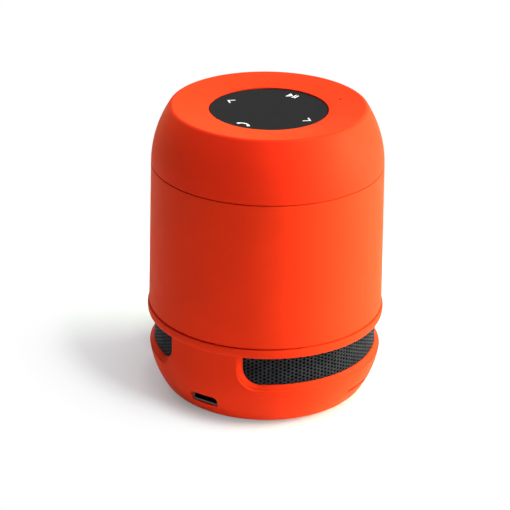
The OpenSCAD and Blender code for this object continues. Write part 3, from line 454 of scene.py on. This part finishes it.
def tape():
    f = Finish("adhesive_tape", specular=0.3)
    fibre = f.noise(0.4 * MM, detail=5.0, rough=0.7, warp=1.0)
    f.relief(fibre, depth=0.02 * MM, strength=0.6)
    shade = f.mix(fibre, (0.50, 0.49, 0.45), (0.72, 0.71, 0.68))
    return f.done(shade, f.span(fibre, 0.3, 0.7, to_low=0.5, to_high=0.7))


def dress(material, *names):
    for name in names:
        mesh = nodes[name].data
        mesh.materials.clear()
        mesh.materials.append(material)


# Hairlines drawn out along Y
BRUSHED = (1.0, 0.05, 1.0)
RED_WIRE = (0.42, 0.012, 0.010)
BLACK_WIRE = (0.012, 0.012, 0.012)


def dress_case():
    """Shell, grille, sockets, switch, foot and screws."""
    dress(soft_touch("soft_touch_cap", CAP_ORANGE), "top_cap")
    dress(soft_touch("soft_touch_sleeve", ORANGE), "body_sleeve")
    dress(soft_touch("soft_touch_base", tinted(ORANGE, 0.98)), "base_shell")
    dress(panel_black(), "touch_panel")
    dress(grille_steel(), "grille_mesh")
    # The cloth is darker than real black cloth: partly its own black, partly painted shade in the grille's
    # holes
    weave = woven("acoustic_weave", (0.001, 0.001, 0.001), (0.003, 0.003, 0.003), 0.35 * MM)
    dress(weave, "acoustic_cloth")
    # The shell's nickel is far darker than bare nickel: painted shade of the recessed port
    dress(plated("nickel_shell", (0.09, 0.09, 0.09), rough=0.38, brush=BRUSHED), "usb_shell")
    dress(plated("socket_steel", (0.50, 0.50, 0.50), rough=0.30, brush=BRUSHED), "card_socket")
    dress(moulded("contact_nylon", (0.015, 0.015, 0.016), rough=0.45, grain=0.1, depth=0.008), "usb_tongue")
    dress(moulded("switch_nylon", (0.020, 0.020, 0.021), rough=0.48, grain=0.12, depth=0.010), "switch_knob")
    dress(moulded("switch_frame", (0.030, 0.030, 0.031), rough=0.42, grain=0.15, depth=0.010), "switch_body")
    dress(rubber("foot_rubber", (0.022, 0.022, 0.023)), "foot_ring")
    zinc = plated("screw_zinc", (0.46, 0.45, 0.42), rough=0.32)
    dress(zinc, "base_screws", "tray_screws", "pcb_screws")
    dress(plated("screw_black", (0.10, 0.10, 0.11), rough=0.36), "board_screws", "driver_screws")


def dress_driver():
    """The driver and what it is mounted on."""
    dress(plated("basket_zinc", (0.42, 0.43, 0.44), rough=0.34), "driver_basket")
    dress(plated("pole_steel", (0.38, 0.38, 0.39), rough=0.30), "driver_yoke", "driver_top_plate")
    dress(ferrite(), "driver_magnet")
    dress(winding(), "voice_coil")
    dress(paper_cone(), "cone")
    dark_silk = (0.012, 0.012, 0.013)
    light_silk = (0.034, 0.034, 0.036)
    silk = woven("dome_silk", dark_silk, light_silk, 0.3 * MM, rough=0.8, depth=0.03, round_z=False)
    dress(silk, "dust_cap")
    dress(rubber("surround_rubber", (0.014, 0.014, 0.015), grain=0.3), "surround")
    dark_cloth = (0.22, 0.12, 0.035)
    light_cloth = (0.46, 0.29, 0.10)
    cloth = woven("spider_cloth", dark_cloth, light_cloth, 0.4 * MM, rough=0.85, depth=0.06, round_z=False)
    dress(cloth, "spider")
    terminal = moulded("terminal_board", (0.17, 0.10, 0.045), rough=0.55, grain=0.2, depth=0.015)
    dress(terminal, "driver_terminal")
    dress(foam("gasket_foam", (0.028, 0.028, 0.028)), "driver_gasket")
    baffle = moulded("baffle_plastic", (0.016, 0.016, 0.017), rough=0.56, grain=0.25, depth=0.03)
    dress(baffle, "baffle", "battery_tray")
    deflector = moulded("deflector_plastic", (0.012, 0.012, 0.013), rough=0.50, grain=0.2, depth=0.02)
    dress(deflector, "sound_deflector")


def dress_electronics():
    """Boards, battery, wires and microphone."""
    dress(circuit_board("main_board", 2.6 * MM), "main_pcb")
    dress(circuit_board("touch_circuit", 3.4 * MM), "touch_board")
    dress(chips(), "pcb_parts")
    dress(cell_pouch(), "battery_cell")
    dress(foam("battery_pad", (0.05, 0.05, 0.052)), "battery_foam")
    dress(lead_pair("battery_wires", 195.0, RED_WIRE, BLACK_WIRE), "battery_leads")
    dress(lead_pair("speaker_wires", 150.0, RED_WIRE, BLACK_WIRE), "speaker_leads")
    dress(ribbon_film(), "touch_cable")
    dress(tape(), "panel_adhesive")
    dress(foam("touch_foam", (0.06, 0.06, 0.062)), "touch_pads")
    dress(plated("mic_can", (0.46, 0.46, 0.45), rough=0.34), "mic_capsule")
    dress(rubber("boot_rubber", (0.016, 0.016, 0.017), grain=0.18), "mic_boot")


dress_case()
dress_driver()
dress_electronics()


# Driver suspension, cut into sectors

# How the rings are cut, and what counts as one point and as a sharp edge
SECTORS = 12
HALF_SECTOR = math.pi / SECTORS
WELD = 0.001 * MM
SHARP = math.radians(40.0)


def sector_mesh(name, source, middle):
    """The closed part of a ring within half a sector of the direction given by the angle middle."""
    bm = bmesh.new()
    bm.from_mesh(source)
    bmesh.ops.remove_doubles(bm, verts=bm.verts, dist=WELD)
    for side in (-1.0, 1.0):
        edge = middle + side * HALF_SECTOR
        outward = Vector((-math.sin(edge), math.cos(edge), 0.0)) * side
        everything = bm.verts[:] + bm.edges[:] + bm.faces[:]
        cut = bmesh.ops.bisect_plane(
            bm, geom=everything, plane_co=(0.0, 0.0, 0.0), plane_no=outward, clear_outer=True
        )["geom_cut"]
        rims = [item for item in cut if isinstance(item, bmesh.types.BMEdge)]
        bmesh.ops.holes_fill(bm, edges=rims)
    mesh = bpy.data.meshes.new(name)
    bm.to_mesh(mesh)
    bm.free()
    mesh.shade_smooth()
    mesh.set_sharp_from_angle(angle=SHARP)
    return mesh


def flexing_ring(node):
    """Cuts the ring into closed sectors, each its own piece, and hides the whole ring."""
    source = nodes[node].data
    for k in range(SECTORS):
        name = f"{node}_sector_{k + 1}"
        middle = 2.0 * HALF_SECTOR * k
        piece = bpy.data.objects.new(name, sector_mesh(name, source, middle))
        piece.data.materials.append(source.materials[0])
        bpy.context.scene.collection.objects.link(piece)
        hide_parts(node)
        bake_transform(piece)


flexing_ring("surround")
flexing_ring("spider")


# Printed signs on the touch panel

PANEL_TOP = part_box("touch_panel")[1].z
INK_FINISH = ink_white()
INK_THICKNESS = 0.02 * MM
PRINT_TURN = Matrix.Rotation(math.radians(-1.5), 2)
# Steps in a stroke's round end, and the limit of its mitred bends
END_STEPS = 8
LEAST_MITRE = 0.35

# The signs' shapes on the panel, in mm
ARROW_HALF = 0.19
PREVIOUS = [(-10.55, 0.16), (-11.85, -0.95), (-10.55, -2.06)]
NEXT = [(11.68, 0.4), (13.0, -0.75), (11.68, -1.9)]
PLAY = [(-1.64, 10.2), (-0.08, 11.55), (-1.64, 12.9)]
BAR_LOW = 10.45
BAR_HIGH = 12.65


def stroke(points, half):
    """Outline of a line of given half widths, with mitred bends and round ends, in mm."""
    pts = [Vector(p) for p in points]
    halves = half if isinstance(half, list) else [half] * len(pts)
    steps = [(b - a).normalized() for a, b in zip(pts, pts[1:])]
    left = []
    right = []
    for i, p in enumerate(pts):
        before = steps[max(i - 1, 0)]
        after = steps[min(i, len(steps) - 1)]
        along = (before + after).normalized()
        side = Vector((-along.y, along.x))
        reach = halves[i] / max(LEAST_MITRE, side.dot(Vector((-before.y, before.x))))
        left.append(p + side * reach)
        right.append(p - side * reach)

    def round_end(centre, direction, radius):
        start = math.atan2(direction.x, -direction.y)
        turns = [start - math.pi * k / END_STEPS for k in range(1, END_STEPS)]
        return [centre + radius * Vector((math.cos(turn), math.sin(turn))) for turn in turns]

    end = round_end(pts[-1], steps[-1], halves[-1])
    begin = round_end(pts[0], -steps[0], halves[0])
    return left + end + right[::-1] + begin


def ink_piece(name, outlines):
    mesh = bpy.data.meshes.new(name)
    bm = bmesh.new()
    for outline in outlines:
        ring = [bm.verts.new((*(PRINT_TURN @ Vector(p[:2]) * MM), PANEL_TOP)) for p in outline]
        face = bm.faces.new(ring)
        if face.normal.z < 0:
            face.normal_flip()
        lifted = bmesh.ops.extrude_face_region(bm, geom=[face])["geom"]
        top = [item for item in lifted if isinstance(item, bmesh.types.BMVert)]
        bmesh.ops.translate(bm, verts=top, vec=(0, 0, INK_THICKNESS))
    bmesh.ops.recalc_face_normals(bm, faces=bm.faces)
    bm.to_mesh(mesh)
    bm.free()
    piece = bpy.data.objects.new(name, mesh)
    bpy.context.scene.collection.objects.link(piece)
    mesh.materials.append(INK_FINISH)
    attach(piece, "housing")


def bar(left, right):
    return [(left, BAR_LOW), (right, BAR_LOW), (right, BAR_HIGH), (left, BAR_HIGH)]


def handset():
    """An arc that swells towards both ends."""
    centre_x = 0.95
    centre_y = -13.75
    radius = 1.75
    spread = math.radians(58.0)
    grip_half = 0.25
    swell = 0.17
    grip = 0.55
    steps = 8
    points = []
    halves = []
    for k in range(2 * steps + 1):
        t = -1.0 + k / steps
        a = t * spread
        points.append((centre_x + radius * math.sin(a), centre_y + radius * math.cos(a)))
        halves.append(grip_half + swell * max(0.0, abs(t) - grip) / (1.0 - grip))
    return stroke(points, halves)


def signs():
    ink_piece("sign_previous", [stroke(PREVIOUS, ARROW_HALF)])
    ink_piece("sign_next", [stroke(NEXT, ARROW_HALF)])
    ink_piece("sign_play_pause", [PLAY, bar(0.07, 0.42), bar(0.77, 1.12)])
    ink_piece("sign_call", [handset()])


signs()


# Stage and light

FLOOR_RADIUS = 4.0
FLOOR_SIDES = 96
# The centre of the painted shadow, and the floor's painted white glow by the distance from it, in metres:
# the glow is held back in a disc set behind and left of the object, which paints where the shadow shows
PAINTED_SHADOW_CENTRE = Vector((-0.0172, 0.0289, 0.0))
PAINTED_GLOW_SHARES = [(0.030, 0.05), (0.038, 0.40), (0.055, 0.43), (0.064, 0.88), (0.075, 1.0)]
# Round the foot the painted glow fades over these distances from the axis, to this share, which paints a
# darker contact shadow
PAINTED_CONTACT_NEAR = 0.024
PAINTED_CONTACT_FAR = 0.034
PAINTED_CONTACT_SHARE = 0.5

WHITE = (1.0, 1.0, 1.0, 1.0)
AMBIENT_STRENGTH = 0.02
LAMP_AIM = Vector((0.0, 0.0, 0.04))
# The rays that see the white surroundings, which are only a faint light to all others
SEEING_RAYS = ("Is Camera Ray", "Is Glossy Ray", "Is Transmission Ray")


def painted_glow_share(f):
    """How much of the floor shows as painted white glow: little in the painted shadow and round the foot,
    all of it further out.
    """
    glow = f.add("ShaderNodeValToRGB")
    f.wire(f.length(f.mapped(shift=-PAINTED_SHADOW_CENTRE)), glow.inputs["Fac"])
    ramp = glow.color_ramp
    while len(ramp.elements) < len(PAINTED_GLOW_SHARES):
        ramp.elements.new(0.5)
    for element, (radius, share) in zip(ramp.elements, PAINTED_GLOW_SHARES):
        element.position = radius
        element.color = (share, share, share, 1.0)
    # Less glow round the foot: a painted contact shadow
    contact = f.span(f.length(f.coords), PAINTED_CONTACT_NEAR, PAINTED_CONTACT_FAR, to_low=PAINTED_CONTACT_SHARE, to_high=1.0)
    return f.math("MULTIPLY", glow.outputs["Color"], contact)


def floor_paper():
    """Matt paper, grey to the light that it throws back and whiter to the rays that see it, with a painted
    white glow that is held back where the painted shadow lies.
    """
    f = Finish("studio_floor", specular=0.0)
    grain = f.noise(40.0 * MM, detail=3.0)
    path = f.add("ShaderNodeLightPath")
    seen = path.outputs[SEEING_RAYS[0]]
    for ray in SEEING_RAYS[1:]:
        seen = f.math("MAXIMUM", seen, path.outputs[ray])
    # The cool tint to the rays that see the floor is painted, to cancel the orange light that the object
    # throws on it
    colour = f.mix(grain, (0.83, 0.875, 0.925), (0.85, 0.895, 0.945))
    colour = f.mix(seen, (0.85, 0.85, 0.85), colour)
    f.done(colour, f.span(grain, 0.0, 1.0, to_low=0.85, to_high=0.95))
    white = f.add("ShaderNodeEmission")
    blend = f.add("ShaderNodeMixShader")
    f.wire(f.math("MULTIPLY", seen, painted_glow_share(f)), blend.inputs[0])
    f.wire(f.bsdf.outputs[0], blend.inputs[1])
    f.wire(white.outputs[0], blend.inputs[2])
    f.wire(blend.outputs[0], f.out.inputs["Surface"])
    return f.mat


def stage():
    mesh = bpy.data.meshes.new("floor")
    bm = bmesh.new()
    bmesh.ops.create_circle(bm, cap_ends=True, segments=FLOOR_SIDES, radius=FLOOR_RADIUS)
    bm.to_mesh(mesh)
    bm.free()
    floor = bpy.data.objects.new("floor", mesh)
    bpy.context.scene.collection.objects.link(floor)
    mesh.materials.append(floor_paper())


def lamp(name, azimuth, elevation, distance, size, power, colour=(1.0, 1.0, 1.0)):
    """A soft panel; azimuth runs from the camera's side towards the right."""
    data = bpy.data.lights.new(name, "AREA")
    data.shape = "RECTANGLE"
    data.size = size[0]
    data.size_y = size[1]
    data.energy = power
    data.color = colour
    panel = bpy.data.objects.new(name, data)
    a = math.radians(VIEW_AZIMUTH + azimuth)
    e = math.radians(elevation)
    where = Vector((math.sin(a) * math.cos(e), -math.cos(a) * math.cos(e), math.sin(e))) * distance
    panel.location = where + LAMP_AIM
    panel.rotation_euler = (-where).to_track_quat("-Z", "Y").to_euler()
    panel.visible_camera = False
    bpy.context.scene.collection.objects.link(panel)


def surroundings():
    """White to the rays that see it, and a faint light to all others."""
    world = bpy.data.worlds.new("studio")
    bpy.context.scene.world = world
    world.use_nodes = True
    tree = world.node_tree
    tree.nodes.clear()
    out = tree.nodes.new("ShaderNodeOutputWorld")
    ambient = tree.nodes.new("ShaderNodeBackground")
    ambient.inputs["Color"].default_value = WHITE
    ambient.inputs["Strength"].default_value = AMBIENT_STRENGTH
    backdrop = tree.nodes.new("ShaderNodeBackground")
    backdrop.inputs["Color"].default_value = WHITE
    path = tree.nodes.new("ShaderNodeLightPath")
    seen = path.outputs[SEEING_RAYS[0]]
    for ray in SEEING_RAYS[1:]:
        either = tree.nodes.new("ShaderNodeMath")
        either.operation = "MAXIMUM"
        tree.links.new(seen, either.inputs[0])
        tree.links.new(path.outputs[ray], either.inputs[1])
        seen = either.outputs[0]
    mix = tree.nodes.new("ShaderNodeMixShader")
    tree.links.new(seen, mix.inputs[0])
    tree.links.new(ambient.outputs[0], mix.inputs[1])
    tree.links.new(backdrop.outputs[0], mix.inputs[2])
    tree.links.new(mix.outputs[0], out.inputs["Surface"])


def light():
    surroundings()
    lamp("key_panel", azimuth=85.0, elevation=75.0, distance=0.90, size=(0.50, 0.50), power=5.8)
    lamp("front_panel", azimuth=60.0, elevation=55.0, distance=0.90, size=(0.50, 0.50), power=2.8)
    lamp(
        "side_panel", azimuth=92.0, elevation=14.0, distance=0.60, size=(0.40, 0.26), power=10.5,
        colour=(0.88, 1.0, 0.68),
    )
    lamp("back_panel", azimuth=225.0, elevation=45.0, distance=0.80, size=(0.50, 0.40), power=1.3)


stage()
light()
bpy.context.scene.view_settings.view_transform = "Standard"
